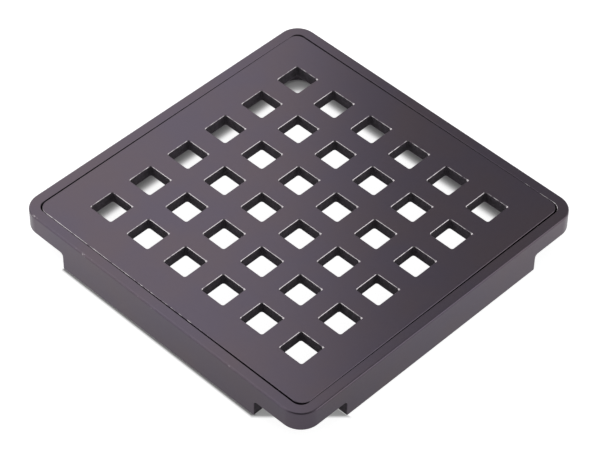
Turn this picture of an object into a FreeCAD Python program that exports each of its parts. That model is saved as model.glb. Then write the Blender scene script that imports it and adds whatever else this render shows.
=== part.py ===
"""Square shower drain cover: a cast frame, and the pierced grate that drops into it.

Millimetres, +Z up, X and Y along the sides. The origin is under the middle of the frame, level with the
feet of its skirts, so the cover stands on z = 0.
"""
import FreeCAD, Part
import math
import os
from enum import IntEnum

import Sketcher

SIZES = {
    # Frame: a band with round corners, on four skirts that stop short of the corners.
    "frame_side": 100.0,
    "frame_height": 11.0,
    "band_height": 5.8,
    "corner_radius": 5.7,
    "corner_notch": 15.8,
    "skirt_thickness": 3.0,
    "notch_fillet": 1.0,
    "foot_round": 0.4,
    "rim_width": 3.0,
    "rim_outer_round": 0.5,
    "rim_inner_chamfer": 0.1,
    # Recess in the frame, and the ledge in it that carries the grate.
    "recess_radius": 2.7,
    "ledge_width": 7.8,
    "opening_radius": 4.6,
    # Grate: it lies level with the rim, a little turned in its play as a dropped-in plate does.
    "grate_thickness": 3.45,
    "grate_clearance": 0.27,
    "grate_corner_ease": 0.2,
    "grate_edge_chamfer": 0.1,
    "share_of_play": 0.7,
    # Holes: square with round corners, as many as fit inside the plain border.
    "hole_side": 7.54,
    "hole_corner_radius": 0.6,
    "bar_width": 5.88,
    "least_border": 8.5,
}

# Sizes that follow from the ones above.
BAND_FOOT = "(Sizes.frame_height - Sizes.band_height)"
SKIRT_END = "(Sizes.frame_side / 2 - Sizes.corner_notch)"
RECESS_SIDE = "(Sizes.frame_side - 2 * Sizes.rim_width)"
OPENING_SIDE = f"({RECESS_SIDE} - 2 * Sizes.ledge_width)"
LEDGE_TOP = "(Sizes.frame_height - Sizes.grate_thickness)"
GRATE_SIDE = f"({RECESS_SIDE} - 2 * Sizes.grate_clearance)"
GRATE_RADIUS = "(Sizes.recess_radius + Sizes.grate_corner_ease)"
GRATE_TURN = f"(Sizes.share_of_play * atan(2 * Sizes.grate_clearance / {GRATE_SIDE}))"
HOLE_PITCH = "(Sizes.hole_side + Sizes.bar_width)"
HOLE_COUNT = f"floor(({GRATE_SIDE} - 2 * Sizes.least_border + Sizes.bar_width) / {HOLE_PITCH})"
HOLE_SPAN = f"(({HOLE_COUNT} - 1) * {HOLE_PITCH})"
FIRST_HOLE = f"(-{HOLE_SPAN} / 2)"

SIDES = 4
ON_PLANE = 1e-4


class Point(IntEnum):
    """Sketcher's code for the point of an edge that a constraint takes."""

    START = 1
    END = 2


class Axis(IntEnum):
    """Sketcher's code for an axis of the sketch; the start of the level one is the origin."""

    LEVEL = -1
    UPRIGHT = -2


def make_sheet(doc):
    """Keep the driving dimensions in a spreadsheet, one named cell each."""
    sheet = doc.addObject("Spreadsheet::Sheet", "Sizes")
    for row, (alias, size) in enumerate(SIZES.items(), start=1):
        sheet.set(f"A{row}", alias)
        sheet.set(f"B{row}", str(size))
        sheet.setAlias(f"B{row}", alias)
    doc.recompute()


def origin_feature(body, role):
    """Find one of the body's own origin planes or axes."""
    return next(feature for feature in body.Origin.OriginFeatures if feature.Role == role)


def make_body(doc, name):
    """Start a sub-part whose label names its file."""
    body = doc.addObject("PartDesign::Body", name)
    body.Label = name
    return body


def make_sketch(body, name, plane, **offsets):
    """Attach a sketch to an origin plane, moved by the expressions given for x, y and z."""
    sketch = body.newObject("Sketcher::SketchObject", name)
    sketch.AttachmentSupport = (origin_feature(body, plane), [""])
    sketch.MapMode = "FlatFace"
    for axis, expression in offsets.items():
        sketch.setExpression(f"AttachmentOffset.Base.{axis}", expression)
    return sketch


def dimension(sketch, name, expression, kind, *where):
    """Add a named dimension to a sketch and bind it to an expression."""
    index = sketch.addConstraint(Sketcher.Constraint(kind, *where, sketch.evalExpression(expression)))
    sketch.renameConstraint(index, name)
    sketch.setExpression(f"Constraints.{name}", expression)


def line(sketch, start, end):
    """Add a straight line between two points of the sketch."""
    segment = Part.LineSegment(FreeCAD.Vector(*start, 0), FreeCAD.Vector(*end, 0))
    return sketch.addGeometry(segment)


def arc(sketch, centre, radius, first, last):
    """Add an arc that runs counter-clockwise between two angles in degrees."""
    circle = Part.Circle(FreeCAD.Vector(*centre, 0), FreeCAD.Vector(0, 0, 1), radius)
    return sketch.addGeometry(Part.ArcOfCircle(circle, math.radians(first), math.radians(last)))


def draw_rounded_square(sketch, name, side, radius):
    """Draw a square with round corners about the sketch's origin."""
    half = sketch.evalExpression(side) / 2
    corner = sketch.evalExpression(radius)
    inner = half - corner
    bottom = line(sketch, (-inner, -half), (inner, -half))
    right = line(sketch, (half, -inner), (half, inner))
    top = line(sketch, (inner, half), (-inner, half))
    left = line(sketch, (-half, inner), (-half, -inner))
    corners = [
        (bottom, arc(sketch, (inner, -inner), corner, -90, 0), right),
        (right, arc(sketch, (inner, inner), corner, 0, 90), top),
        (top, arc(sketch, (-inner, inner), corner, 90, 180), left),
        (left, arc(sketch, (-inner, -inner), corner, 180, 270), bottom),
    ]
    first_arc = corners[0][1]
    for before, bend, after in corners:
        sketch.addConstraint(Sketcher.Constraint("Tangent", before, Point.END, bend, Point.START))
        sketch.addConstraint(Sketcher.Constraint("Tangent", bend, Point.END, after, Point.START))
        if bend != first_arc:
            sketch.addConstraint(Sketcher.Constraint("Equal", first_arc, bend))
    for flat in (bottom, top):
        sketch.addConstraint(Sketcher.Constraint("Horizontal", flat))
    for upright in (right, left):
        sketch.addConstraint(Sketcher.Constraint("Vertical", upright))
    sketch.addConstraint(Sketcher.Constraint("Equal", bottom, left))
    sketch.addConstraint(Sketcher.Constraint("Symmetric", bottom, Point.START, top, Point.START,
                                             Axis.LEVEL, Point.START))
    dimension(sketch, f"{name}_side", side, "DistanceX", left, Point.START, right, Point.START)
    dimension(sketch, f"{name}_radius", radius, "Radius", first_arc)


def draw_skirt(sketch):
    """Draw one skirt from the side: flared into the band above, with round lower corners."""
    end = sketch.evalExpression(SKIRT_END)
    head = sketch.evalExpression(BAND_FOOT)
    flare = sketch.evalExpression("Sizes.notch_fillet")
    foot = sketch.evalExpression("Sizes.foot_round")
    top = line(sketch, (end + flare, head), (-end - flare, head))
    left_flare = arc(sketch, (-end - flare, head - flare), flare, 0, 90)
    left = line(sketch, (-end, head - flare), (-end, foot))
    left_foot = arc(sketch, (-end + foot, foot), foot, 180, 270)
    bottom = line(sketch, (-end + foot, 0), (end - foot, 0))
    right_foot = arc(sketch, (end - foot, foot), foot, 270, 360)
    right = line(sketch, (end, foot), (end, head - flare))
    right_flare = arc(sketch, (end + flare, head - flare), flare, 90, 180)
    sketch.addConstraint(Sketcher.Constraint("Tangent", top, Point.END, left_flare, Point.END))
    sketch.addConstraint(Sketcher.Constraint("Tangent", left_flare, Point.START, left, Point.START))
    sketch.addConstraint(Sketcher.Constraint("Tangent", left, Point.END, left_foot, Point.START))
    sketch.addConstraint(Sketcher.Constraint("Tangent", left_foot, Point.END, bottom, Point.START))
    sketch.addConstraint(Sketcher.Constraint("Tangent", bottom, Point.END, right_foot, Point.START))
    sketch.addConstraint(Sketcher.Constraint("Tangent", right_foot, Point.END, right, Point.START))
    sketch.addConstraint(Sketcher.Constraint("Tangent", right, Point.END, right_flare, Point.END))
    sketch.addConstraint(Sketcher.Constraint("Tangent", right_flare, Point.START, top, Point.START))
    sketch.addConstraint(Sketcher.Constraint("Horizontal", top))
    sketch.addConstraint(Sketcher.Constraint("Horizontal", bottom))
    sketch.addConstraint(Sketcher.Constraint("Vertical", left))
    sketch.addConstraint(Sketcher.Constraint("Equal", left_flare, right_flare))
    sketch.addConstraint(Sketcher.Constraint("Equal", left_foot, right_foot))
    sketch.addConstraint(Sketcher.Constraint("PointOnObject", bottom, Point.START, Axis.LEVEL))
    sketch.addConstraint(Sketcher.Constraint("Symmetric", left, Point.END, right, Point.START, Axis.UPRIGHT))
    dimension(sketch, "skirt_length", f"2 * {SKIRT_END}", "DistanceX", left, Point.END, right, Point.START)
    dimension(sketch, "skirt_height", BAND_FOOT, "DistanceY", bottom, Point.START, top, Point.END)
    dimension(sketch, "notch_fillet", "Sizes.notch_fillet", "Radius", left_flare)
    dimension(sketch, "foot_round", "Sizes.foot_round", "Radius", left_foot)


def make_pad(body, name, sketch, length):
    """Raise a sketch along its normal."""
    pad = body.newObject("PartDesign::Pad", name)
    pad.Profile = sketch
    pad.setExpression("Length", length)
    return pad


def make_pocket(body, name, sketch, depth):
    """Sink a sketch against its normal, and make sure that it cuts."""
    before = body.Shape.Volume
    pocket = body.newObject("PartDesign::Pocket", name)
    pocket.Profile = sketch
    pocket.setExpression("Length", depth)
    body.Document.recompute()
    if not body.Shape.Volume < before:
        raise RuntimeError(f"{name} cuts nothing")
    return pocket


def ease_edges(body, name, kind, size, belongs):
    """Fillet or chamfer the edges of the body so far that the test picks out."""
    body.Document.recompute()
    base = body.Tip
    picked = [f"Edge{i}" for i, edge in enumerate(base.Shape.Edges, start=1) if belongs(edge)]
    feature = body.newObject(f"PartDesign::{kind}", name)
    feature.Base = (base, picked)
    feature.setExpression({"Fillet": "Radius", "Chamfer": "Size"}[kind], size)


def reach(edge):
    """Give how far an edge's middle lies from the cover's upright axis, along X or Y."""
    centre = edge.CenterOfMass
    return max(abs(centre.x), abs(centre.y))


def lies_at(edge, height):
    """Say whether an edge lies in the level plane at a height."""
    box = edge.BoundBox
    return abs(box.ZMin - height) < ON_PLANE and abs(box.ZMax - height) < ON_PLANE


def build_frame(doc):
    """Model the frame: the band with its recess and ledge, then four skirts, then the eased rim edges."""
    body = make_body(doc, "frame")
    band_sketch = make_sketch(body, "band_sketch", "XY_Plane", z=BAND_FOOT)
    draw_rounded_square(band_sketch, "band", "Sizes.frame_side", "Sizes.corner_radius")
    draw_rounded_square(band_sketch, "opening", OPENING_SIDE, "Sizes.opening_radius")
    make_pad(body, "band", band_sketch, "Sizes.band_height")
    doc.recompute()

    recess_sketch = make_sketch(body, "recess_sketch", "XY_Plane", z="Sizes.frame_height")
    draw_rounded_square(recess_sketch, "recess", RECESS_SIDE, "Sizes.recess_radius")
    make_pocket(body, "recess", recess_sketch, "Sizes.grate_thickness")

    inner_face = "Sizes.frame_side / 2 - Sizes.skirt_thickness"
    skirt_sketch = make_sketch(body, "skirt_sketch", "XZ_Plane", z=inner_face)
    draw_skirt(skirt_sketch)
    skirt = make_pad(body, "skirt", skirt_sketch, "Sizes.skirt_thickness")
    doc.recompute()
    skirts = body.newObject("PartDesign::PolarPattern", "skirts")
    skirts.Originals = [skirt]
    skirts.Axis = (origin_feature(body, "Z_Axis"), [""])
    skirts.Angle = 360
    skirts.Occurrences = SIDES
    body.Tip = skirts

    rim_top = body.evalExpression("Sizes.frame_height")
    rim_middle = body.evalExpression("Sizes.frame_side / 2 - Sizes.rim_width / 2")
    ease_edges(body, "rim_outer_round", "Fillet", "Sizes.rim_outer_round",
               lambda edge: lies_at(edge, rim_top) and reach(edge) > rim_middle)
    ease_edges(body, "rim_inner_chamfer", "Chamfer", "Sizes.rim_inner_chamfer",
               lambda edge: lies_at(edge, rim_top) and reach(edge) < rim_middle)
    return body


def build_grate(doc):
    """Model the grate: a plate, one hole repeated along both sides, and an eased upper edge."""
    body = make_body(doc, "grate")
    plate_sketch = make_sketch(body, "plate_sketch", "XY_Plane")
    draw_rounded_square(plate_sketch, "plate", GRATE_SIDE, GRATE_RADIUS)
    make_pad(body, "plate", plate_sketch, "Sizes.grate_thickness")
    doc.recompute()

    hole_sketch = make_sketch(body, "hole_sketch", "XY_Plane",
                              x=FIRST_HOLE, y=FIRST_HOLE, z="Sizes.grate_thickness")
    draw_rounded_square(hole_sketch, "hole", "Sizes.hole_side", "Sizes.hole_corner_radius")
    hole = make_pocket(body, "hole", hole_sketch, "Sizes.grate_thickness")
    holes = body.newObject("PartDesign::LinearPattern", "holes")
    holes.Originals = [hole]
    holes.Direction = (origin_feature(body, "X_Axis"), [""])
    holes.Direction2 = (origin_feature(body, "Y_Axis"), [""])
    for count, span in (("Occurrences", "Length"), ("Occurrences2", "Length2")):
        holes.setExpression(count, HOLE_COUNT)
        holes.setExpression(span, HOLE_SPAN)
    body.Tip = holes

    plate_top = body.evalExpression("Sizes.grate_thickness")
    border_middle = body.evalExpression(f"({GRATE_SIDE} + {HOLE_SPAN} + Sizes.hole_side) / 4")
    ease_edges(body, "plate_edge_chamfer", "Chamfer", "Sizes.grate_edge_chamfer",
               lambda edge: lies_at(edge, plate_top) and reach(edge) > border_middle)

    # A turn about the upright axis, whose angle is then bound to the play in the recess.
    body.Placement = FreeCAD.Placement(FreeCAD.Vector(), FreeCAD.Rotation(FreeCAD.Vector(0, 0, 1), 1))
    body.setExpression("Placement.Base.z", LEDGE_TOP)
    body.setExpression("Placement.Rotation.Angle", GRATE_TURN)
    return body


def check_document(doc, bodies):
    """Stop if any object failed to build or a sub-part is not one sound solid."""
    for item in doc.Objects:
        if {"Invalid", "Error"} & set(item.State):
            raise RuntimeError(f"{item.Name} failed: {item.State}")
    for body in bodies:
        if body.Shape.isNull() or not body.Shape.isValid() or len(body.Shape.Solids) != 1:
            raise RuntimeError(f"{body.Label} is not one sound solid")


def main():
    """Build both sub-parts and write each one to its own STEP file."""
    doc = FreeCAD.newDocument("drain_cover")
    make_sheet(doc)
    bodies = [build_frame(doc), build_grate(doc)]
    doc.recompute()
    check_document(doc, bodies)
    os.makedirs("parts", exist_ok=True)
    for body in bodies:
        body.Shape.exportStep(f"parts/{body.Label}.step")
        print(body.Label, "volume", round(body.Shape.Volume, 1), "mm3")


main()
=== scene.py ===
"""Square shower drain cover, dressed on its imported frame.

Two pieces, each standing for the CAD node of the same name: the cast frame with its notched skirts, and the
pierced grate that lies in it. The meshes are drawn in millimetres and end in metres, in the frame of the
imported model: +Z up, X and Y along the sides, the feet of the skirts on z = 0.
"""

import logging
import math
from dataclasses import dataclass
from enum import Enum

import bmesh
import bpy
from mathutils import Matrix, Quaternion, Vector


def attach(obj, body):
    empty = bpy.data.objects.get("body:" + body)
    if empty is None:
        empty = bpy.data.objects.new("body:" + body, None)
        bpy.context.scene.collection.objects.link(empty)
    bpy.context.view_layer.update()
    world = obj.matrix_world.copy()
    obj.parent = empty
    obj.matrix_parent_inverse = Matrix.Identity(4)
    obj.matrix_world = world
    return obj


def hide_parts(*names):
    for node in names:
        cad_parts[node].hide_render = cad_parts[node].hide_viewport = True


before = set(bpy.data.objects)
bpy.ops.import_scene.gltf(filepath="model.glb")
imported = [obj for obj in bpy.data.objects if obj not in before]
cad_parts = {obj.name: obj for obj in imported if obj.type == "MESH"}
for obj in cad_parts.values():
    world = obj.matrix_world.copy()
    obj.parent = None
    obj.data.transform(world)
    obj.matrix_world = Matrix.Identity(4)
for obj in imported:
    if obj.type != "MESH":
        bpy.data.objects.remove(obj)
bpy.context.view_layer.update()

MM = 0.001
PHOTO_WIDTH = 600
SENSOR_WIDTH = 36.0
CLIP_RANGE = (0.01, 20.0)
WEAR = "edge_wear"
# Faces marked with this attribute take a near-black painted shade: inside the holes and under the rim.
DULL_PAINTED_SHADE = "dull_wall_painted_shade"
SHARP_ANGLE = math.radians(40)
FACING_ANGLE = math.radians(60)
CHAMFER = 1

# Tolerances in millimetres, and the share by which a length may run over.
IN_PLANE = 1e-4
MERGED = 1e-3
NEARBY = 0.1
SLACK = 1.1

# The upward part of a face's normal, below which it is upright and above which it is level.
UPRIGHT = 0.1
LEVEL = 0.9

log = logging.getLogger("drain_cover")


class Wear(Enum):
    """How far the film is rubbed from a kind of edge, from 0 for whole to past 1 for bare all along."""

    WHOLE = 0.0
    NICKED = 0.34
    SCUFFED = 0.7
    CRISP = 0.75
    BARE = 1.5


@dataclass(frozen=True)
class Rub:
    """A corner that is rubbed or knocked the most, such as one where a tool lifts the grate out.

    Attributes:
        corner: the place of the corner along X and Y, in millimetres.
        reach: how far from it the wear fades to nothing, in millimetres.
    """

    corner: tuple[float, float]
    reach: float

    def share(self, place: Vector) -> float:
        """Give how much of the rubbing reaches a place: 1 at the corner, and below 0 past its reach."""
        return 1.0 - (place.xy - Vector(self.corner)).length / self.reach


@dataclass(frozen=True)
class Shelter:
    """The border of a plate, where feet seldom rub it.

    Attributes:
        start: how far from the upright axis the border starts, in millimetres along X or Y.
        kept: the share of the wear that edges get there.
    """

    start: float
    kept: float

    def share(self, place: Vector) -> float:
        """Give how much of the rubbing reaches a place."""
        return self.kept if max(abs(place.x), abs(place.y)) > self.start else 1.0


def linear(hex_colour: str) -> tuple[float, float, float, float]:
    """Turn an sRGB hex colour to linear light.

    Args:
        hex_colour: six hex digits after a number sign.

    Returns:
        Red, green, blue and an alpha of 1.
    """
    channels = [int(hex_colour[i:i + 2], 16) / 255 for i in (1, 3, 5)]
    straight = [c / 12.92 if c <= 0.04045 else ((c + 0.055) / 1.055) ** 2.4 for c in channels]
    return (*straight, 1.0)


def add_node(tree: bpy.types.NodeTree, kind: str, settings: dict | None = None, **inputs) -> bpy.types.Node:
    """Add a node with its settings and links.

    Args:
        tree: the tree that takes the node.
        kind: Blender's name of the node type.
        settings: attributes to set on the node.
        inputs: a value or an output socket for each input, by its name with underscores, or by s and
            its number.

    Returns:
        The new node.
    """
    node = tree.nodes.new(kind)
    for name, value in (settings or {}).items():
        setattr(node, name, value)
    for name, value in inputs.items():
        by_number = name[0] == "s" and name[1:].isdigit()
        socket = node.inputs[int(name[1:])] if by_number else node.inputs[name.replace("_", " ")]
        if isinstance(value, bpy.types.NodeSocket):
            tree.links.new(value, socket)
        else:
            socket.default_value = value
    return node


def per_metre(size_mm: float) -> float:
    """Give the scale of a pattern on Object coordinates whose features are so many millimetres wide."""
    return 1.0 / (size_mm * MM)


@dataclass(frozen=True)
class Outline:
    """A level square with round corners, in millimetres.

    Attributes:
        side: the length of a side.
        radius: the radius of the corners, or 0 for sharp ones.
        height: the height of its plane.
    """

    side: float
    radius: float
    height: float

    def draw(self, bm: bmesh.types.BMesh, segments: int) -> list[bmesh.types.BMEdge]:
        """Draw the outline as a closed loop of edges.

        Args:
            bm: the mesh that takes the loop.
            segments: the segments of each corner.

        Returns:
            The edges of the loop.
        """
        made = bmesh.ops.create_grid(bm, x_segments=1, y_segments=1, size=self.side / 2)
        verts = made["verts"]
        if self.radius > 0:
            made = bmesh.ops.bevel(bm, geom=verts, offset=self.radius, offset_type="OFFSET",
                                   affect="VERTICES", segments=segments, profile=0.5, material=-1)
            verts = made["verts"]
        bmesh.ops.translate(bm, verts=verts, vec=Vector((0, 0, self.height)))
        edges = list({edge for vert in verts for edge in vert.link_edges})
        faces = list({face for edge in edges for face in edge.link_faces})
        bmesh.ops.delete(bm, geom=faces, context="FACES_ONLY")
        return edges


def stack(bm: bmesh.types.BMesh, outlines: list[Outline], segments: int,
          closed: bool) -> list[list[bmesh.types.BMEdge]]:
    """Bridge a row of outlines into a wall.

    The outlines are bridged as a tall tube and then pushed to their heights, because loops in one plane
    don't pair up by their nearest corners.

    Args:
        bm: the mesh that takes the wall.
        outlines: the outlines, each one next to the one that it is bridged to.
        segments: the segments of each corner.
        closed: whether the last outline is bridged to the first.

    Returns:
        The loop of edges of each outline.
    """
    spacing = max(outline.side for outline in outlines)
    loops = [
        Outline(outline.side, outline.radius, floor * spacing).draw(bm, segments)
        for floor, outline in enumerate(outlines)
    ]
    pairs = list(zip(loops, loops[1:]))
    if closed:
        pairs.append((loops[-1], loops[0]))
    for near, far in pairs:
        bmesh.ops.bridge_loops(bm, edges=near + far)
    for floor, (outline, loop) in enumerate(zip(outlines, loops)):
        verts = list({vert for edge in loop for vert in edge.verts})
        bmesh.ops.translate(bm, verts=verts, vec=Vector((0, 0, outline.height - floor * spacing)))
    return loops


def reach(item: bmesh.types.BMEdge | bmesh.types.BMFace) -> float:
    """Give how far the middle of an edge or a face lies from the upright axis, along X or Y."""
    centre = sum((vert.co for vert in item.verts), Vector()) / len(item.verts)
    return max(abs(centre.x), abs(centre.y))


def is_at(item: bmesh.types.BMEdge | bmesh.types.BMFace, height: float) -> bool:
    """Say whether an edge or a face lies in the level plane at a height."""
    return all(abs(vert.co.z - height) < IN_PLANE for vert in item.verts)


def faces_out(face: bmesh.types.BMFace) -> bool:
    """Say whether a face looks away from the upright axis, along X or Y.

    Args:
        face: the face.

    Returns:
        Whether its normal is within FACING_ANGLE of that way.
    """
    centre = face.calc_center_median()
    way = Vector((centre.x, 0, 0)) if abs(centre.x) > abs(centre.y) else Vector((0, centre.y, 0))
    return face.normal.angle(way, math.pi) < FACING_ANGLE


def turns(edge: bmesh.types.BMEdge) -> bool:
    """Say whether the surface turns a corner at an edge."""
    return len(edge.link_faces) == 2 and edge.calc_face_angle() > SHARP_ANGLE


def round_edges(bm: bmesh.types.BMesh, edges: list[bmesh.types.BMEdge], radius: float, segments: int,
                wear: Wear, rub: Rub | Shelter | None = None) -> None:
    """Round edges, and note at the corners of the new faces how worn the film is there.

    Args:
        bm: the mesh.
        edges: the edges to round.
        radius: the radius, in millimetres.
        segments: the segments of the rounding.
        wear: the wear on the new faces.
        rub: the place that the wear is strongest or weakest at, if it varies.
    """
    layer = bm.loops.layers.float.get(WEAR) or bm.loops.layers.float.new(WEAR)
    made = bmesh.ops.bevel(bm, geom=edges, offset=radius, offset_type="OFFSET", affect="EDGES",
                           segments=segments, profile=0.5, material=-1, clamp_overlap=True,
                           face_strength_mode="AFFECTED")
    for face in made["faces"]:
        for loop in face.loops:
            loop[layer] = wear.value * (rub.share(loop.vert.co) if rub else 1.0)


def finish_piece(bm: bmesh.types.BMesh, name: str) -> bpy.types.Object:
    """Turn a mesh drawn in millimetres into a smooth-shaded piece in metres.

    Args:
        bm: the mesh, which is freed.
        name: the name of the piece.

    Returns:
        The new object, at the origin.
    """
    bmesh.ops.remove_doubles(bm, verts=bm.verts, dist=IN_PLANE)
    bmesh.ops.recalc_face_normals(bm, faces=bm.faces)
    bmesh.ops.scale(bm, verts=bm.verts, vec=Vector((MM, MM, MM)))
    for face in bm.faces:
        face.smooth = True
    mesh = bpy.data.meshes.new(name)
    bm.to_mesh(mesh)
    bm.free()
    mesh.set_sharp_from_angle(angle=SHARP_ANGLE)
    piece = bpy.data.objects.new(name, mesh)
    bpy.context.collection.objects.link(piece)
    normals = piece.modifiers.new("flat_faces_stay_flat", "WEIGHTED_NORMAL")
    normals.keep_sharp = True
    normals.use_face_influence = True
    return piece


@dataclass(frozen=True)
class SatinPlating:
    """Dark satin bronze plating on cast zinc, as on bathroom fittings.

    The thin metal film tints what it mirrors to a violet brown and blurs it to a satin sheen. It clouds from
    brown to violet over some centimetres, has a fine orange peel from the casting under it, and is rubbed
    through to bright zinc in broken lines along crisp edges. Inside the holes and under the rim it is matte,
    mottled and nearly black; that near-black is painted shade for those recesses.

    Attributes:
        name: the name of the material.
        film: the colour of the film.
        cloud: the colour that the film drifts to in clouds.
        bare: the colour of the zinc where the film is rubbed away.
        dull_painted_shade: the near-black of the matte walls inside the holes and under the rim, painted
            shade for those recesses.
        dull_painted_shade_fleck: the colour of the paler flecks in that painted shade.
        roughness: the roughness of the film.
        dull_roughness: the roughness of the matte walls inside the holes and under the rim.
        gloss_swing: how far the roughness of the film goes up and down with the orange peel.
        cloud_mm: the width of a cloud.
        peel_mm: the width of the orange peel, drawn coarser than it is so that it shows.
        peel_depth_mm: the depth of the orange peel.
        peel_strength: how strongly it bends the light.
        nick_mm: the length of a nick along a rubbed edge.
        nick_lines: whether the nicks are bits of a line along an edge, rather than spots.
        fleck_mm: the width of a fleck on the dull walls.
        cloud_span: the levels of the noise between which the film drifts.
        rubbed_span: the sums of wear and noise between which the film gives way to zinc.
        fleck_span: the levels of the noise between which that painted shade turns to flecks.
        peel_span: the levels of the noise between which the roughness swings.
    """

    name: str
    film: str = "#675d65"
    cloud: str = "#645c68"
    bare: str = "#ccc6c9"
    # The next two colours are painted shade for the recesses inside the holes and under the rim.
    dull_painted_shade: str = "#3d373e"
    dull_painted_shade_fleck: str = "#564e58"
    roughness: float = 0.30
    dull_roughness: float = 0.8
    gloss_swing: float = 0.02
    cloud_mm: float = 16.0
    peel_mm: float = 0.9
    peel_depth_mm: float = 0.008
    peel_strength: float = 0.2
    nick_mm: float = 1.4
    nick_lines: bool = False
    fleck_mm: float = 1.1
    cloud_span: tuple[float, float] = (0.35, 0.65)
    rubbed_span: tuple[float, float] = (0.98, 1.2)
    fleck_span: tuple[float, float] = (0.4, 0.7)
    peel_span: tuple[float, float] = (0.3, 0.7)

    def make(self) -> bpy.types.Material:
        """Make the material.

        Returns:
            The new material.
        """
        material = bpy.data.materials.new(self.name)
        material.use_nodes = True
        tree = material.node_tree
        tree.nodes.clear()
        place = add_node(tree, "ShaderNodeTexCoord").outputs["Object"]
        clouds = add_node(tree, "ShaderNodeTexNoise", Vector=place, Scale=per_metre(self.cloud_mm),
                          Detail=3.0)
        peel = add_node(tree, "ShaderNodeTexNoise", Vector=place, Scale=per_metre(self.peel_mm), Detail=2.0)
        along = place
        if self.nick_lines:
            along = add_node(tree, "ShaderNodeVectorMath", {"operation": "PROJECT"}, s0=place,
                             s1=(1.0, 1.0, 0.0)).outputs[0]
        nicks = add_node(tree, "ShaderNodeTexNoise", Vector=along, Scale=per_metre(self.nick_mm), Detail=2.0)
        flecks = add_node(tree, "ShaderNodeTexNoise", Vector=place, Scale=per_metre(self.fleck_mm),
                          Detail=3.0)
        wear = add_node(tree, "ShaderNodeAttribute", {"attribute_name": WEAR}).outputs["Fac"]
        dull_painted_shade = add_node(tree, "ShaderNodeAttribute", {"attribute_name": DULL_PAINTED_SHADE}).outputs["Fac"]
        tone = add_node(tree, "ShaderNodeMapRange", Value=clouds.outputs["Fac"],
                        From_Min=self.cloud_span[0], From_Max=self.cloud_span[1])
        drift = add_node(tree, "ShaderNodeMix", {"data_type": "RGBA"}, Factor=tone.outputs["Result"],
                         s6=linear(self.film), s7=linear(self.cloud))
        worn = add_node(tree, "ShaderNodeMath", {"operation": "ADD"}, s0=wear, s1=nicks.outputs["Fac"])
        rubbed = add_node(tree, "ShaderNodeMapRange", Value=worn.outputs[0],
                          From_Min=self.rubbed_span[0], From_Max=self.rubbed_span[1])
        edged = add_node(tree, "ShaderNodeMix", {"data_type": "RGBA"}, Factor=rubbed.outputs["Result"],
                         s6=drift.outputs[2], s7=linear(self.bare))
        # Near-black with paler flecks: painted shade for the recesses inside the holes and under the rim.
        speckle = add_node(tree, "ShaderNodeMapRange", Value=flecks.outputs["Fac"],
                           From_Min=self.fleck_span[0], From_Max=self.fleck_span[1])
        wall = add_node(tree, "ShaderNodeMix", {"data_type": "RGBA"}, Factor=speckle.outputs["Result"],
                        s6=linear(self.dull_painted_shade), s7=linear(self.dull_painted_shade_fleck))
        # Faces marked for painted shade take it in place of the film's colour.
        colour = add_node(tree, "ShaderNodeMix", {"data_type": "RGBA"}, Factor=dull_painted_shade,
                          s6=edged.outputs[2], s7=wall.outputs[2])
        gloss = add_node(tree, "ShaderNodeMapRange", Value=peel.outputs["Fac"],
                         From_Min=self.peel_span[0], From_Max=self.peel_span[1],
                         To_Min=self.roughness - self.gloss_swing, To_Max=self.roughness + self.gloss_swing)
        blur = add_node(tree, "ShaderNodeMix", {"data_type": "FLOAT"}, Factor=dull_painted_shade,
                        s2=gloss.outputs["Result"], s3=self.dull_roughness)
        metal = add_node(tree, "ShaderNodeMath", {"operation": "SUBTRACT"}, s0=1.0, s1=dull_painted_shade)
        bump = add_node(tree, "ShaderNodeBump", Height=peel.outputs["Fac"], Strength=self.peel_strength,
                        Distance=self.peel_depth_mm * MM)
        shader = add_node(tree, "ShaderNodeBsdfPrincipled", Base_Color=colour.outputs[2],
                          Metallic=metal.outputs[0], Roughness=blur.outputs[0],
                          Normal=bump.outputs["Normal"])
        add_node(tree, "ShaderNodeOutputMaterial", Surface=shader.outputs["BSDF"])
        return material


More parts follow.
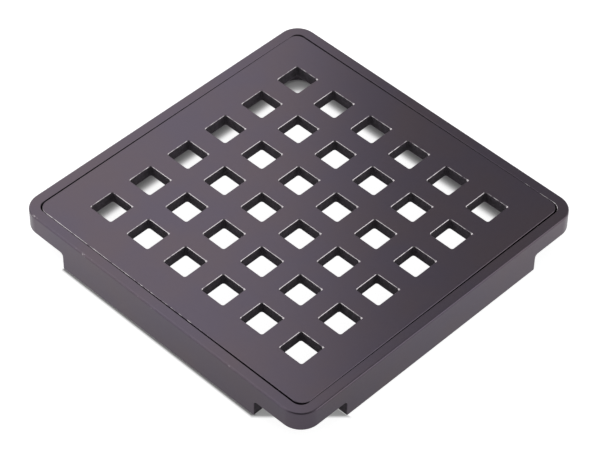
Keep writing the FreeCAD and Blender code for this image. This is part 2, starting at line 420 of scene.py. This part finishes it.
@dataclass
class Frame:
    """The cast frame: a band with a recess and a ledge, on four skirts that stop short of the corners.

    Attributes are its sizes and the reaches of its wear in millimetres, and the segments of its corners and
    rounds.
    """

    side: float = 100.0
    height: float = 11.0
    band_height: float = 5.8
    corner_radius: float = 5.7
    corner_notch: float = 15.8
    skirt_thickness: float = 3.0
    notch_fillet: float = 1.0
    foot_round: float = 0.4
    rim_width: float = 3.0
    rim_outer_round: float = 0.5
    rim_inner_chamfer: float = 0.1
    recess_radius: float = 2.7
    recess_depth: float = 3.45
    ledge_width: float = 7.8
    opening_radius: float = 4.6
    cast_round: float = 0.2
    rub_reach: float = 30.0
    nick_reach: float = 300.0
    corner_segments: int = 16
    notch_segments: int = 6
    rim_segments: int = 5
    cast_segments: int = 3

    @property
    def band_foot(self) -> float:
        """The height of the band's underside."""
        return self.height - self.band_height

    @property
    def recess_side(self) -> float:
        """The side of the recess."""
        return self.side - 2 * self.rim_width

    def build(self) -> bpy.types.Object:
        """Build the frame.

        Returns:
            The new piece.
        """
        bm = bmesh.new()
        self.raise_band(bm)
        self.drop_skirts(bm)
        self.ease(bm)
        return finish_piece(bm, "cast_frame")

    def raise_band(self, bm: bmesh.types.BMesh) -> None:
        """Draw the band round its opening, with the recess, the ledge and the line where the skirts start.

        Args:
            bm: the mesh that takes it.
        """
        opening = self.recess_side - 2 * self.ledge_width
        ledge = self.height - self.recess_depth
        skirt_line = self.side - 2 * self.skirt_thickness
        skirt_radius = self.corner_radius - self.skirt_thickness
        stack(bm, [
            Outline(self.side, self.corner_radius, self.band_foot),
            Outline(self.side, self.corner_radius, self.height),
            Outline(self.recess_side, self.recess_radius, self.height),
            Outline(self.recess_side, self.recess_radius, ledge),
            Outline(opening, self.opening_radius, ledge),
            Outline(opening, self.opening_radius, self.band_foot),
            Outline(skirt_line, skirt_radius, self.band_foot),
        ], self.corner_segments, closed=True)
        bmesh.ops.recalc_face_normals(bm, faces=bm.faces)

    def drop_skirts(self, bm: bmesh.types.BMesh) -> None:
        """Cut the underside at the notches and draw the skirts down to the floor.

        Args:
            bm: the mesh of the band.
        """
        end = self.side / 2 - self.corner_notch
        middle = self.side / 2 - self.skirt_thickness / 2
        straight = self.side - 2 * self.corner_radius
        strips = [
            face for face in bm.faces
            if is_at(face, self.band_foot) and abs(reach(face) - middle) < NEARBY
            and SLACK * max(edge.calc_length() for edge in face.edges) > straight
        ]
        for strip in strips:
            along = Vector((1, 0, 0)) if abs(strip.calc_center_median().y) > end else Vector((0, 1, 0))
            pieces = [strip]
            for stop in (-end, end):
                geom = {part for face in pieces for part in (face, *face.edges, *face.verts)}
                cut = bmesh.ops.bisect_plane(bm, geom=list(geom), plane_co=along * stop, plane_no=along)
                pieces = [part for part in cut["geom"] if isinstance(part, bmesh.types.BMFace)]
        feet = [
            face for face in bm.faces
            if is_at(face, self.band_foot) and abs(reach(face) - middle) < NEARBY
            and abs(max(edge.calc_length() for edge in face.edges) - 2 * end) < NEARBY
        ]
        made = bmesh.ops.extrude_face_region(bm, geom=feet)
        verts = [part for part in made["geom"] if isinstance(part, bmesh.types.BMVert)]
        bmesh.ops.translate(bm, verts=verts, vec=Vector((0, 0, -self.band_foot)))
        bmesh.ops.delete(bm, geom=[face for face in feet if face.is_valid], context="FACES_ONLY")
        bmesh.ops.recalc_face_normals(bm, faces=bm.faces)
        for height, radius in ((self.band_foot, self.notch_fillet), (0.0, self.foot_round)):
            corners = [
                edge for edge in bm.edges
                if is_at(edge, height) and abs(edge.calc_length() - self.skirt_thickness) < MERGED
                and abs(reach(edge) - middle) < MERGED and turns(edge)
            ]
            round_edges(bm, corners, radius, self.notch_segments, Wear.WHOLE)

    def ease(self, bm: bmesh.types.BMesh) -> None:
        """Round the rim's edges and those below it, as a casting leaves them, and mark inner faces for
        painted shade.

        Args:
            bm: the mesh of the band and the skirts.
        """
        rim_middle = self.side / 2 - self.rim_width / 2
        rim = [edge for edge in bm.edges if is_at(edge, self.height) and turns(edge)]
        outer = [edge for edge in rim if reach(edge) > rim_middle]
        knocks = Rub((-self.side / 2, -self.side / 2), self.nick_reach)
        round_edges(bm, outer, self.rim_outer_round, self.rim_segments, Wear.NICKED, knocks)
        inner = [edge for edge in bm.edges
                 if is_at(edge, self.height) and turns(edge) and reach(edge) < rim_middle]
        lift = Rub((self.recess_side / 2, self.recess_side / 2), self.rub_reach)
        round_edges(bm, inner, self.rim_inner_chamfer, CHAMFER, Wear.CRISP, lift)
        below = self.band_foot + MERGED
        low = [edge for edge in bm.edges
               if turns(edge) and edge.is_convex and max(vert.co.z for vert in edge.verts) < below]
        round_edges(bm, low, self.cast_round, self.cast_segments, Wear.WHOLE)
        # Faces below the rim that don't look outward (recess, ledge, underside, skirt ends and insides) get
        # the near-black painted shade.
        layer = bm.faces.layers.float.new(DULL_PAINTED_SHADE)
        for face in bm.faces:
            if face.calc_center_median().z < self.height - self.rim_outer_round and not faces_out(face):
                face[layer] = 1.0

    def dress(self, piece: bpy.types.Object, finish: SatinPlating) -> None:
        """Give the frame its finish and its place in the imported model.

        Args:
            piece: the built frame.
            finish: its finish.
        """
        piece.data.materials.append(finish.make())
        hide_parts("frame")
        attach(piece, "root")


@dataclass
class Grate:
    """The pierced grate: a plate with square holes, a little turned in its play.

    Attributes are its sizes in millimetres, those of the recess that it lies in, the shares of its play and
    wear, and the segments of its corners and rounds. corner_wear and far_corner_wear are how far the mouths
    are widened at the two rubbed corners of a hole.
    """

    recess_side: float = 94.0
    recess_radius: float = 2.7
    clearance: float = 0.27
    corner_ease: float = 0.2
    share_of_play: float = 0.7
    thickness: float = 3.45
    top: float = 11.0
    hole_side: float = 7.54
    hole_radius: float = 0.6
    bar_width: float = 5.88
    holes_per_side: int = 6
    edge_chamfer: float = 0.1
    mouth_chamfer: float = 0.125
    under_round: float = 0.15
    rub_reach: float = 165.0
    border_wear: float = 0.78
    corner_wear: float = 0.3
    far_corner_wear: float = 0.12
    corner_segments: int = 12
    hole_segments: int = 6
    under_segments: int = 2

    @property
    def side(self) -> float:
        """The side of the plate."""
        return self.recess_side - 2 * self.clearance

    @property
    def corner_radius(self) -> float:
        """The radius of the plate's corners."""
        return self.recess_radius + self.corner_ease

    @property
    def turn(self) -> float:
        """The angle in radians that the plate lies turned by in its play."""
        return self.share_of_play * math.atan(2 * self.clearance / self.side)

    @property
    def pitch(self) -> float:
        """The distance from one hole to the next."""
        return self.hole_side + self.bar_width

    def build(self) -> bpy.types.Object:
        """Build the grate.

        Returns:
            The new piece.
        """
        bm = bmesh.new()
        self.pierce(bm)
        self.edge(bm)
        bmesh.ops.remove_doubles(bm, verts=bm.verts, dist=MERGED)
        bmesh.ops.recalc_face_normals(bm, faces=bm.faces)
        self.ease(bm)
        turn = Matrix.Rotation(self.turn, 3, "Z")
        bmesh.ops.rotate(bm, verts=bm.verts, cent=Vector(), matrix=turn)
        bmesh.ops.translate(bm, verts=bm.verts, vec=Vector((0, 0, self.top - self.thickness)))
        return finish_piece(bm, "pierced_grate")

    def pierce(self, bm: bmesh.types.BMesh) -> None:
        """Draw one hole with half of the bars round it, and repeat it along both sides.

        Args:
            bm: the mesh that takes the holes.
        """
        stack(bm, [
            Outline(self.pitch, 0.0, 0.0),
            Outline(self.hole_side, self.hole_radius, 0.0),
            Outline(self.hole_side, self.hole_radius, self.thickness),
            Outline(self.pitch, 0.0, self.thickness),
        ], self.hole_segments, closed=False)
        cell = [*bm.verts, *bm.edges, *bm.faces]
        first = -(self.holes_per_side - 1) * self.pitch / 2
        for column in range(self.holes_per_side):
            for row in range(self.holes_per_side):
                copy = bmesh.ops.duplicate(bm, geom=cell)
                verts = [part for part in copy["geom"] if isinstance(part, bmesh.types.BMVert)]
                place = Vector((first + column * self.pitch, first + row * self.pitch, 0))
                bmesh.ops.translate(bm, verts=verts, vec=place)
        first_verts = [part for part in cell if isinstance(part, bmesh.types.BMVert)]
        bmesh.ops.delete(bm, geom=first_verts, context="VERTS")

    def edge(self, bm: bmesh.types.BMesh) -> None:
        """Draw the plain border of the plate round the holes.

        Args:
            bm: the mesh that takes it.
        """
        field = self.holes_per_side * self.pitch
        loops = stack(bm, [
            Outline(field, 0.0, 0.0),
            Outline(self.side, self.corner_radius, 0.0),
            Outline(self.side, self.corner_radius, self.thickness),
            Outline(field, 0.0, self.thickness),
        ], self.corner_segments, closed=False)
        bmesh.ops.subdivide_edges(bm, edges=[*loops[0], *loops[-1]], cuts=self.holes_per_side - 1)

    def ease(self, bm: bmesh.types.BMesh) -> None:
        """Round the mouths of the holes and the edge of the plate, and mark the walls of the holes for
        painted shade.

        Args:
            bm: the whole mesh of the plate, lying on z = 0.
        """
        border = self.holes_per_side * self.pitch / 2
        top = [edge for edge in bm.edges if is_at(edge, self.thickness) and turns(edge)]
        lift = Rub((-self.side / 2, -self.side / 2), self.rub_reach)
        rim = [edge for edge in top if reach(edge) > border]
        round_edges(bm, rim, self.edge_chamfer, CHAMFER, Wear.SCUFFED, lift)
        mouths = [edge for edge in bm.edges
                  if is_at(edge, self.thickness) and turns(edge) and reach(edge) < border]
        outermost = Shelter(border - self.bar_width, self.border_wear)
        round_edges(bm, mouths, self.mouth_chamfer, CHAMFER, Wear.CRISP, outermost)
        self.bare_corners(bm)
        under = [edge for edge in bm.edges if is_at(edge, 0.0) and turns(edge)]
        round_edges(bm, under, self.under_round, self.under_segments, Wear.WHOLE)
        # The upright walls of the holes get the near-black painted shade.
        layer = bm.faces.layers.float.new(DULL_PAINTED_SHADE)
        for face in bm.faces:
            if reach(face) < border and abs(face.normal.z) < UPRIGHT:
                face[layer] = 1.0

    def bare_corners(self, bm: bmesh.types.BMesh) -> None:
        """Widen the mouths at the two corners of each hole along the wiped diagonal, and rub them bare.

        Args:
            bm: the plate, whose mouths are chamfered.
        """
        layer = bm.loops.layers.float.get(WEAR)
        straight = self.hole_side / 2 - self.hole_radius
        mouth_drop = SLACK * self.mouth_chamfer
        corner_reach = self.hole_radius + mouth_drop
        for vert in bm.verts:
            drop = self.thickness - vert.co.z
            across = Vector([(value / self.pitch % 1.0 - 0.5) * self.pitch for value in vert.co.xy])
            past = Vector([abs(value) - straight for value in across])
            if drop > mouth_drop or across.x * across.y < 0:
                continue
            if min(past) <= 0 or past.length > corner_reach:
                continue
            share = 2 * past.x * past.y / past.length_squared
            widening = share * (self.corner_wear if across.x > 0 else self.far_corner_wear)
            chamfers = [loop for loop in vert.link_loops if UPRIGHT < loop.face.normal.z < LEVEL]
            for loop in chamfers:
                loop[layer] += (Wear.BARE.value - loop[layer]) * share
            if drop < self.mouth_chamfer / 2:
                signs = [math.copysign(1, value) for value in across]
                outward = Vector((*signs, 0)).normalized()
                vert.co += outward * widening
            else:
                vert.co.z -= widening

    def dress(self, piece: bpy.types.Object, finish: SatinPlating) -> None:
        """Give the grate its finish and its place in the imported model.

        Args:
            piece: the built grate.
            finish: its finish.
        """
        piece.data.materials.append(finish.make())
        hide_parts("grate")
        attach(piece, "root")


@dataclass(frozen=True)
class Softbox:
    """A soft light with a rectangular face.

    Attributes:
        name: the name of the lamp.
        place: where its middle is, in metres.
        width: the width of its face, in metres.
        tall: the height of its face, in metres.
        level: how bright its face is, where 1 is white.
        aim: the point that it faces, in metres.
    """

    name: str
    place: tuple[float, float, float]
    width: float
    tall: float
    level: float
    aim: tuple[float, float, float] = (0.0, 0.0, 0.0)

    def hang(self) -> bpy.types.Object:
        """Hang the lamp in the scene.

        Returns:
            The lamp's object.
        """
        lamp = bpy.data.lights.new(self.name, "AREA")
        lamp.shape = "RECTANGLE"
        lamp.size = self.width
        lamp.size_y = self.tall
        lamp.energy = self.level * math.pi * self.width * self.tall
        holder = bpy.data.objects.new(self.name, lamp)
        holder.location = self.place
        holder.rotation_mode = "QUATERNION"
        way = Vector(self.aim) - Vector(self.place)
        holder.rotation_quaternion = way.to_track_quat("-Z", "Y")
        bpy.context.collection.objects.link(holder)
        return holder


@dataclass
class Studio:
    """The white table, the soft lights and the camera of the photograph.

    Attributes:
        table_side: the side of the white table, in metres.
        table_white: the colour of the table.
        painted_table_light_and_shade: the glow of the table that the camera sees, as pairs of a distance
            from the middle of the cover along X or Y, in millimetres, and a level, where 1 is white. Its
            dark stretch is a painted shade under the cover's walls, and its bright middle is painted light
            under the grate.
        painted_foot_light_and_shade: the same along the foot of the front skirt and in the notch at its
            right, with a painted shadow strip along the foot.
        foot_end_mm: how far the skirt reaches along X, which painted_foot_light_and_shade starts from.
        foot_blend_mm: half the width of the strip where the one glow passes into the other.
        shade_power: how square the corners of the painted shade are.
        shade_shift_mm: how far the middle of the painted shade lies from that of the cover.
        front_way: the level direction of the cover's front corner.
        unshaded_front_mm: the distances in that direction where the painted shade on the table gives way to
            the
        glow again.
        painted_reflection_glow: the level of the table's glow that the cover mirrors, beside its middle and
            at front_mm:
            a painted reflection, dimmer towards the front.
        front_mm: a distance from the middle of the cover in that direction, over which that painted
            reflection dims.
        room: the colour of the room round the table.
        room_level: how bright the room is overhead.
        wall_level: how bright its white walls are, at the height of the table.
        wall_top: the upward parts of a direction between which the walls pass into the room overhead.
        dark_way: the direction of the dark side of the room.
        dark_share: the share of the light that is left there.
        dark_span: the cosines of the angle to that direction between which the light falls off.
        aim_mm: the point on the cover's top that the camera looks at.
        distance_mm: how far the camera is from that point.
        azimuth, elevation, roll: the camera's angles in degrees.
        focal_px: its focal length in pixels of the photograph.
    """

    table_side: float = 6.0
    table_white: str = "#cbcbcb"
    painted_table_light_and_shade: tuple[tuple[float, float], ...] = (
        (39.2, 0.94), (39.8, 0.84), (41.0, 0.31), (41.8, 0.15), (42.6, 0.09), (43.1, 0.08), (43.5, 0.0),
        (44.8, 0.0), (46.2, 0.87))
    painted_foot_light_and_shade: tuple[tuple[float, float], ...] = (
        (39.8, 0.94), (42.6, 0.22), (49.7, 0.22), (50.1, 0.0), (50.6, 0.02), (51.1, 0.70), (51.4, 0.87))
    foot_end_mm: float = 34.3
    foot_blend_mm: float = 0.3
    shade_power: float = 16.0
    shade_shift_mm: tuple[float, float, float] = (0.25, 0.3, 0.0)
    front_way: tuple[float, float, float] = (0.710, -0.704, 0.0)
    unshaded_front_mm: tuple[float, float] = (59.2, 60.4)
    painted_reflection_glow: tuple[float, float] = (0.64, 0.352)
    front_mm: float = 70.0
    room: str = "#ffffff"
    room_level: float = 0.36
    wall_level: float = 0.85
    wall_top: tuple[float, float] = (0.1, 0.4)
    dark_way: tuple[float, float, float] = (0.482, -0.500, 0.719)
    dark_share: float = 0.3
    dark_span: tuple[float, float] = (0.6, 0.95)
    aim_mm: tuple[float, float, float] = (6.21, -6.03, 11.0)
    distance_mm: float = 653.4
    azimuth: float = 43.95
    elevation: float = 45.97
    roll: float = 0.93
    focal_px: float = 2606.8

    def lights(self) -> list[Softbox]:
        """Give the soft lights.

        Returns:
            One at the left, a fill over that one, one at the right, and a panel behind at the left.
        """
        return [
            Softbox("left_softbox", (-0.36, -0.50, 0.255), 0.45, 0.26, 1.1),
            Softbox("left_fill", (-0.29, -0.14, 0.51), 0.45, 0.25, 0.6),
            Softbox("right_softbox", (0.50, 0.36, 0.34), 0.45, 0.45, 1.0),
            Softbox("back_left_panel", (-0.279, 0.018, 0.216), 0.40, 0.50, 0.74, (-0.134, -0.132, 0.0)),
        ]

    def lay_table(self) -> bpy.types.Object:
        """Lay the white table under the cover.

        Returns:
            The table's object.
        """
        bm = bmesh.new()
        bmesh.ops.create_grid(bm, x_segments=1, y_segments=1, size=self.table_side / 2)
        mesh = bpy.data.meshes.new("white_table")
        bm.to_mesh(mesh)
        bm.free()
        table = bpy.data.objects.new("white_table", mesh)
        bpy.context.collection.objects.link(table)
        table.data.materials.append(self.table_paper())
        return table

    def table_paper(self) -> bpy.types.Material:
        """Make the seamless white paper of the table: an even glow, with painted shade round the cover and
        painted light under the grate.

        Returns:
            The new material.
        """
        material = bpy.data.materials.new("seamless_white_paper")
        material.use_nodes = True
        tree = material.node_tree
        tree.nodes.clear()
        axis = add_node(tree, "ShaderNodeTexCoord").outputs["Object"]
        shift = tuple(length * MM for length in self.shade_shift_mm)
        place = add_node(tree, "ShaderNodeVectorMath", {"operation": "SUBTRACT"}, s0=axis,
                         s1=shift).outputs[0]
        # The glow that the camera sees is graded by distance from the cover: painted shade under its walls
        # and along the front foot, painted light under the grate.
        reach_out = self.square_reach(tree, place)
        inside = self.graded(tree, reach_out, self.painted_table_light_and_shade)
        at_foot = self.graded(tree, reach_out, self.painted_foot_light_and_shade)
        foot_end = self.foot_end_mm * MM
        blend = self.foot_blend_mm * MM
        spot = add_node(tree, "ShaderNodeSeparateXYZ", Vector=place).outputs
        ahead = add_node(tree, "ShaderNodeMath", {"operation": "MULTIPLY"}, s0=spot["Y"], s1=-1.0)
        beside = add_node(tree, "ShaderNodeMath", {"operation": "ADD"}, s0=spot["X"], s1=2 * foot_end)
        within = add_node(tree, "ShaderNodeMath", {"operation": "MINIMUM"}, s0=ahead.outputs[0],
                          s1=beside.outputs[0])
        front = add_node(tree, "ShaderNodeMapRange", Value=within.outputs[0], From_Min=foot_end - blend,
                         From_Max=foot_end + blend)
        walled = add_node(tree, "ShaderNodeMix", {"data_type": "FLOAT"}, Factor=front.outputs["Result"],
                          s2=inside, s3=at_foot)
        # Past the front corner the painted shade gives way to the outer glow again.
        forward = add_node(tree, "ShaderNodeVectorMath", {"operation": "DOT_PRODUCT"}, s0=place,
                           s1=self.front_way)
        unshaded = add_node(tree, "ShaderNodeMapRange", Value=forward.outputs["Value"],
                       From_Min=self.unshaded_front_mm[0] * MM, From_Max=self.unshaded_front_mm[1] * MM,
                       To_Min=0.0, To_Max=self.painted_foot_light_and_shade[-1][1])
        shade = add_node(tree, "ShaderNodeMath", {"operation": "MAXIMUM"}, s0=walled.outputs[0],
                         s1=unshaded.outputs["Result"])
        # Glossy and transmission rays see a painted reflection: a glow that dims towards the front corner.
        painted_reflection_fade = add_node(tree, "ShaderNodeMapRange", Value=forward.outputs["Value"],
                          From_Min=0.0, From_Max=self.front_mm * MM,
                          To_Min=self.painted_reflection_glow[0], To_Max=self.painted_reflection_glow[1])
        rays = add_node(tree, "ShaderNodeLightPath").outputs
        mirrored = add_node(tree, "ShaderNodeMath", {"operation": "MAXIMUM"}, s0=rays["Is Glossy Ray"],
                            s1=rays["Is Transmission Ray"])
        painted_reflection_level = add_node(tree, "ShaderNodeMath", {"operation": "MULTIPLY"}, s0=mirrored.outputs[0],
                          s1=painted_reflection_fade.outputs["Result"])
        looked_at = add_node(tree, "ShaderNodeMath", {"operation": "MULTIPLY"}, s0=rays["Is Camera Ray"],
                             s1=shade.outputs[0])
        seen = add_node(tree, "ShaderNodeMath", {"operation": "MAXIMUM"}, s0=looked_at.outputs[0],
                        s1=painted_reflection_level.outputs[0])
        glow = add_node(tree, "ShaderNodeEmission", Strength=seen.outputs[0])
        paper = add_node(tree, "ShaderNodeBsdfDiffuse", Color=linear(self.table_white))
        both = add_node(tree, "ShaderNodeAddShader", s0=glow.outputs[0], s1=paper.outputs[0])
        add_node(tree, "ShaderNodeOutputMaterial", Surface=both.outputs[0])
        return material

    def square_reach(self, tree: bpy.types.NodeTree, place: bpy.types.NodeSocket) -> bpy.types.NodeSocket:
        """Measure how far a place on the table is from the middle, in squares with round corners.

        Args:
            tree: the tree that takes the nodes.
            place: the output with the place.

        Returns:
            The output with the distance, in metres.
        """
        apart = add_node(tree, "ShaderNodeVectorMath", {"operation": "ABSOLUTE"}, s0=place)
        axes = add_node(tree, "ShaderNodeSeparateXYZ", Vector=apart.outputs[0]).outputs
        along_x = add_node(tree, "ShaderNodeMath", {"operation": "POWER"}, s0=axes["X"], s1=self.shade_power)
        along_y = add_node(tree, "ShaderNodeMath", {"operation": "POWER"}, s0=axes["Y"], s1=self.shade_power)
        powers = add_node(tree, "ShaderNodeMath", {"operation": "ADD"}, s0=along_x.outputs[0],
                          s1=along_y.outputs[0])
        root = add_node(tree, "ShaderNodeMath", {"operation": "POWER"}, s0=powers.outputs[0],
                        s1=1 / self.shade_power)
        return root.outputs[0]

    def graded(self, tree: bpy.types.NodeTree, distance: bpy.types.NodeSocket,
               levels: tuple[tuple[float, float], ...]) -> bpy.types.NodeSocket:
        """Grade a glow by a distance.

        Args:
            tree: the tree that takes the nodes.
            distance: the output with the distance, in metres.
            levels: pairs of a distance in millimetres and a level, the farthest last.

        Returns:
            The output with the level.
        """
        farthest, last = levels[-1]
        along = add_node(tree, "ShaderNodeMath", {"operation": "DIVIDE"}, s0=distance, s1=farthest * MM)
        ramp = add_node(tree, "ShaderNodeValToRGB", Fac=along.outputs[0])
        stops = ramp.color_ramp.elements
        stops.remove(stops[0])
        for stop, level in levels[:-1]:
            stops.new(stop / farthest).color = (level, level, level, 1.0)
        stops[-1].color = (last, last, last, 1.0)
        return ramp.outputs["Color"]

    def light_room(self) -> None:
        """Light the room evenly overhead, with white walls and one dark side, and hang the lights."""
        world = bpy.data.worlds.new("studio_room")
        bpy.context.scene.world = world
        world.use_nodes = True
        tree = world.node_tree
        tree.nodes.clear()
        way = add_node(tree, "ShaderNodeTexCoord").outputs["Generated"]
        height = add_node(tree, "ShaderNodeSeparateXYZ", Vector=way).outputs["Z"]
        level = add_node(tree, "ShaderNodeMapRange", Value=height,
                         From_Min=self.wall_top[0], From_Max=self.wall_top[1],
                         To_Min=self.wall_level, To_Max=self.room_level)
        towards = add_node(tree, "ShaderNodeVectorMath", {"operation": "DOT_PRODUCT"}, s0=way,
                           s1=self.dark_way)
        dark = add_node(tree, "ShaderNodeMapRange", Value=towards.outputs["Value"],
                        From_Min=self.dark_span[0], From_Max=self.dark_span[1],
                        To_Min=1.0, To_Max=self.dark_share)
        strength = add_node(tree, "ShaderNodeMath", {"operation": "MULTIPLY"}, s0=level.outputs["Result"],
                            s1=dark.outputs["Result"])
        room = add_node(tree, "ShaderNodeBackground", Color=linear(self.room), Strength=strength.outputs[0])
        add_node(tree, "ShaderNodeOutputWorld", Surface=room.outputs[0])
        for softbox in self.lights():
            softbox.hang()

    def camera_way(self) -> Vector:
        """Give the direction from the cover to the camera."""
        turn, rise = math.radians(self.azimuth), math.radians(self.elevation)
        return Vector((math.sin(turn) * math.cos(rise), -math.cos(turn) * math.cos(rise), math.sin(rise)))

    def place_camera(self) -> None:
        """Stand the camera where the photograph was taken from."""
        camera = bpy.data.cameras.new("photo_camera")
        camera.sensor_width = SENSOR_WIDTH
        camera.lens = self.focal_px * SENSOR_WIDTH / PHOTO_WIDTH
        camera.clip_start, camera.clip_end = CLIP_RANGE
        holder = bpy.data.objects.new("photo_camera", camera)
        back = self.camera_way()
        holder.location = (Vector(self.aim_mm) + back * self.distance_mm) * MM
        holder.rotation_mode = "QUATERNION"
        level = (-back).to_track_quat("-Z", "Y")
        holder.rotation_quaternion = level @ Quaternion((0, 0, 1), math.radians(self.roll))
        bpy.context.collection.objects.link(holder)
        bpy.context.scene.camera = holder


def main() -> None:
    """Build the cover's pieces, dress them, and set up the studio round them."""
    logging.basicConfig(level=logging.INFO, format="%(name)s: %(message)s")
    scene = bpy.context.scene
    scene.view_settings.view_transform = "Standard"
    parts = (
        (Frame(), SatinPlating("satin_bronze_plated_zinc_frame")),
        (Grate(), SatinPlating("satin_bronze_plated_zinc_grate", nick_lines=True)),
    )
    for part, plating in parts:
        piece = part.build()
        part.dress(piece, plating)
        log.info("%s: %d faces", piece.name, len(piece.data.polygons))
    studio = Studio()
    studio.lay_table()
    studio.light_room()
    studio.place_camera()


if __name__ == "__main__":
    main()
